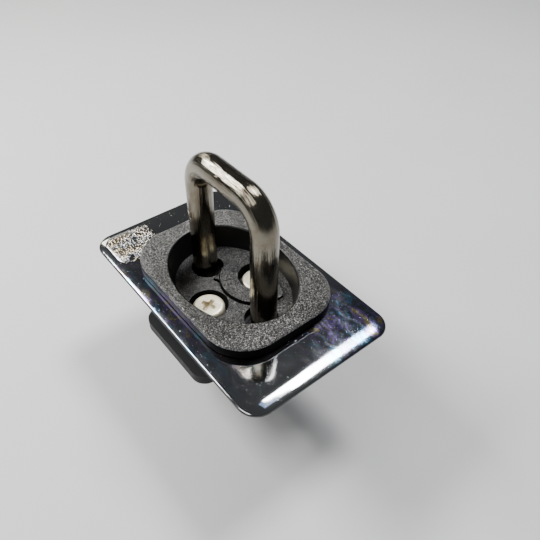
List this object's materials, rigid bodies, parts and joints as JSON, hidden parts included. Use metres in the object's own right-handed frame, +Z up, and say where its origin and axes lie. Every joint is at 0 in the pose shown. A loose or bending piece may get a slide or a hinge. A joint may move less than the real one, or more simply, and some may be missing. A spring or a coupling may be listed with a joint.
{
  "type": "retractable tie-down anchor ring",
  "caption": "Pull-up steel U ring in a black oval recess on a mirror-polished face plate; cross-point screws draw up a clamp plate beneath.",
  "frame": {"origin": "centre of the seat plane, where the face plate's rim and its gasket rest on the roof or rail", "axes": "+Z up out of the rail, along the ring's pull; +X along the long side of the face plate; the front clamp screw is on the -Y side"},
  "size_m": [0.104, 0.062, 0.0966],
  "materials": {
    "polished_plate": "mirror-polished stainless sheet",
    "polished_bar": "polished stainless round bar",
    "black_moulding": "black moulded plastic with a fine leather grain",
    "coated_steel": "black coated steel",
    "zinc_plate": "bright zinc plating",
    "acetal": "black acetal",
    "rubber": "black rubber"
  },
  "bodies": {
    "anchor_housing": {"face_plate": "polished_plate", "bezel": "black_moulding", "recess_floor": "black_moulding", "keeper_disc": "black_moulding", "housing": "black_moulding", "core_plate": "coated_steel", "left_guide_tube": "coated_steel", "right_guide_tube": "coated_steel", "left_guide_bush": "acetal", "right_guide_bush": "acetal", "left_rattle_ring": "rubber", "right_rattle_ring": "rubber", "plate_gasket": "rubber", "housing_screws": "zinc_plate"},
    "ring": {"anchor_ring": "polished_bar", "stop_bar": "coated_steel", "stop_pads": "rubber", "leg_washers": "zinc_plate", "leg_nuts": "zinc_plate"},
    "front_clamp_screw": {"front_screw": "zinc_plate", "front_screw_clip": "coated_steel"},
    "rear_clamp_screw": {"rear_screw": "zinc_plate", "rear_screw_clip": "coated_steel"},
    "clamp": {"clamp_plate": "coated_steel", "clamp_nuts": "zinc_plate"}
  },
  "joints": [
    {"name": "ring_slide", "type": "slide", "parent": "anchor_housing", "child": "ring", "axis": [0, 0, 1], "range_m": [-0.0432, 0]},
    {"name": "front_screw_turn", "type": "hinge", "parent": "anchor_housing", "child": "front_clamp_screw", "pos_m": [0, -0.0113, 0], "axis": [0, 0, -1], "range_deg": [-1080, 1080]},
    {"name": "rear_screw_turn", "type": "hinge", "parent": "anchor_housing", "child": "rear_clamp_screw", "pos_m": [0, 0.0113, 0], "axis": [0, 0, -1], "range_deg": [-1080, 1080]},
    {"name": "clamp_lift", "type": "slide", "parent": "anchor_housing", "child": "clamp", "axis": [0, 0, 1], "range_m": [-0.0038, 0.0038]}
  ],
  "couplings": [
    {"joint": "front_screw_turn", "follows": "clamp_lift", "rad_per_m": 4947.4},
    {"joint": "rear_screw_turn", "follows": "clamp_lift", "rad_per_m": 4947.4}
  ]
}
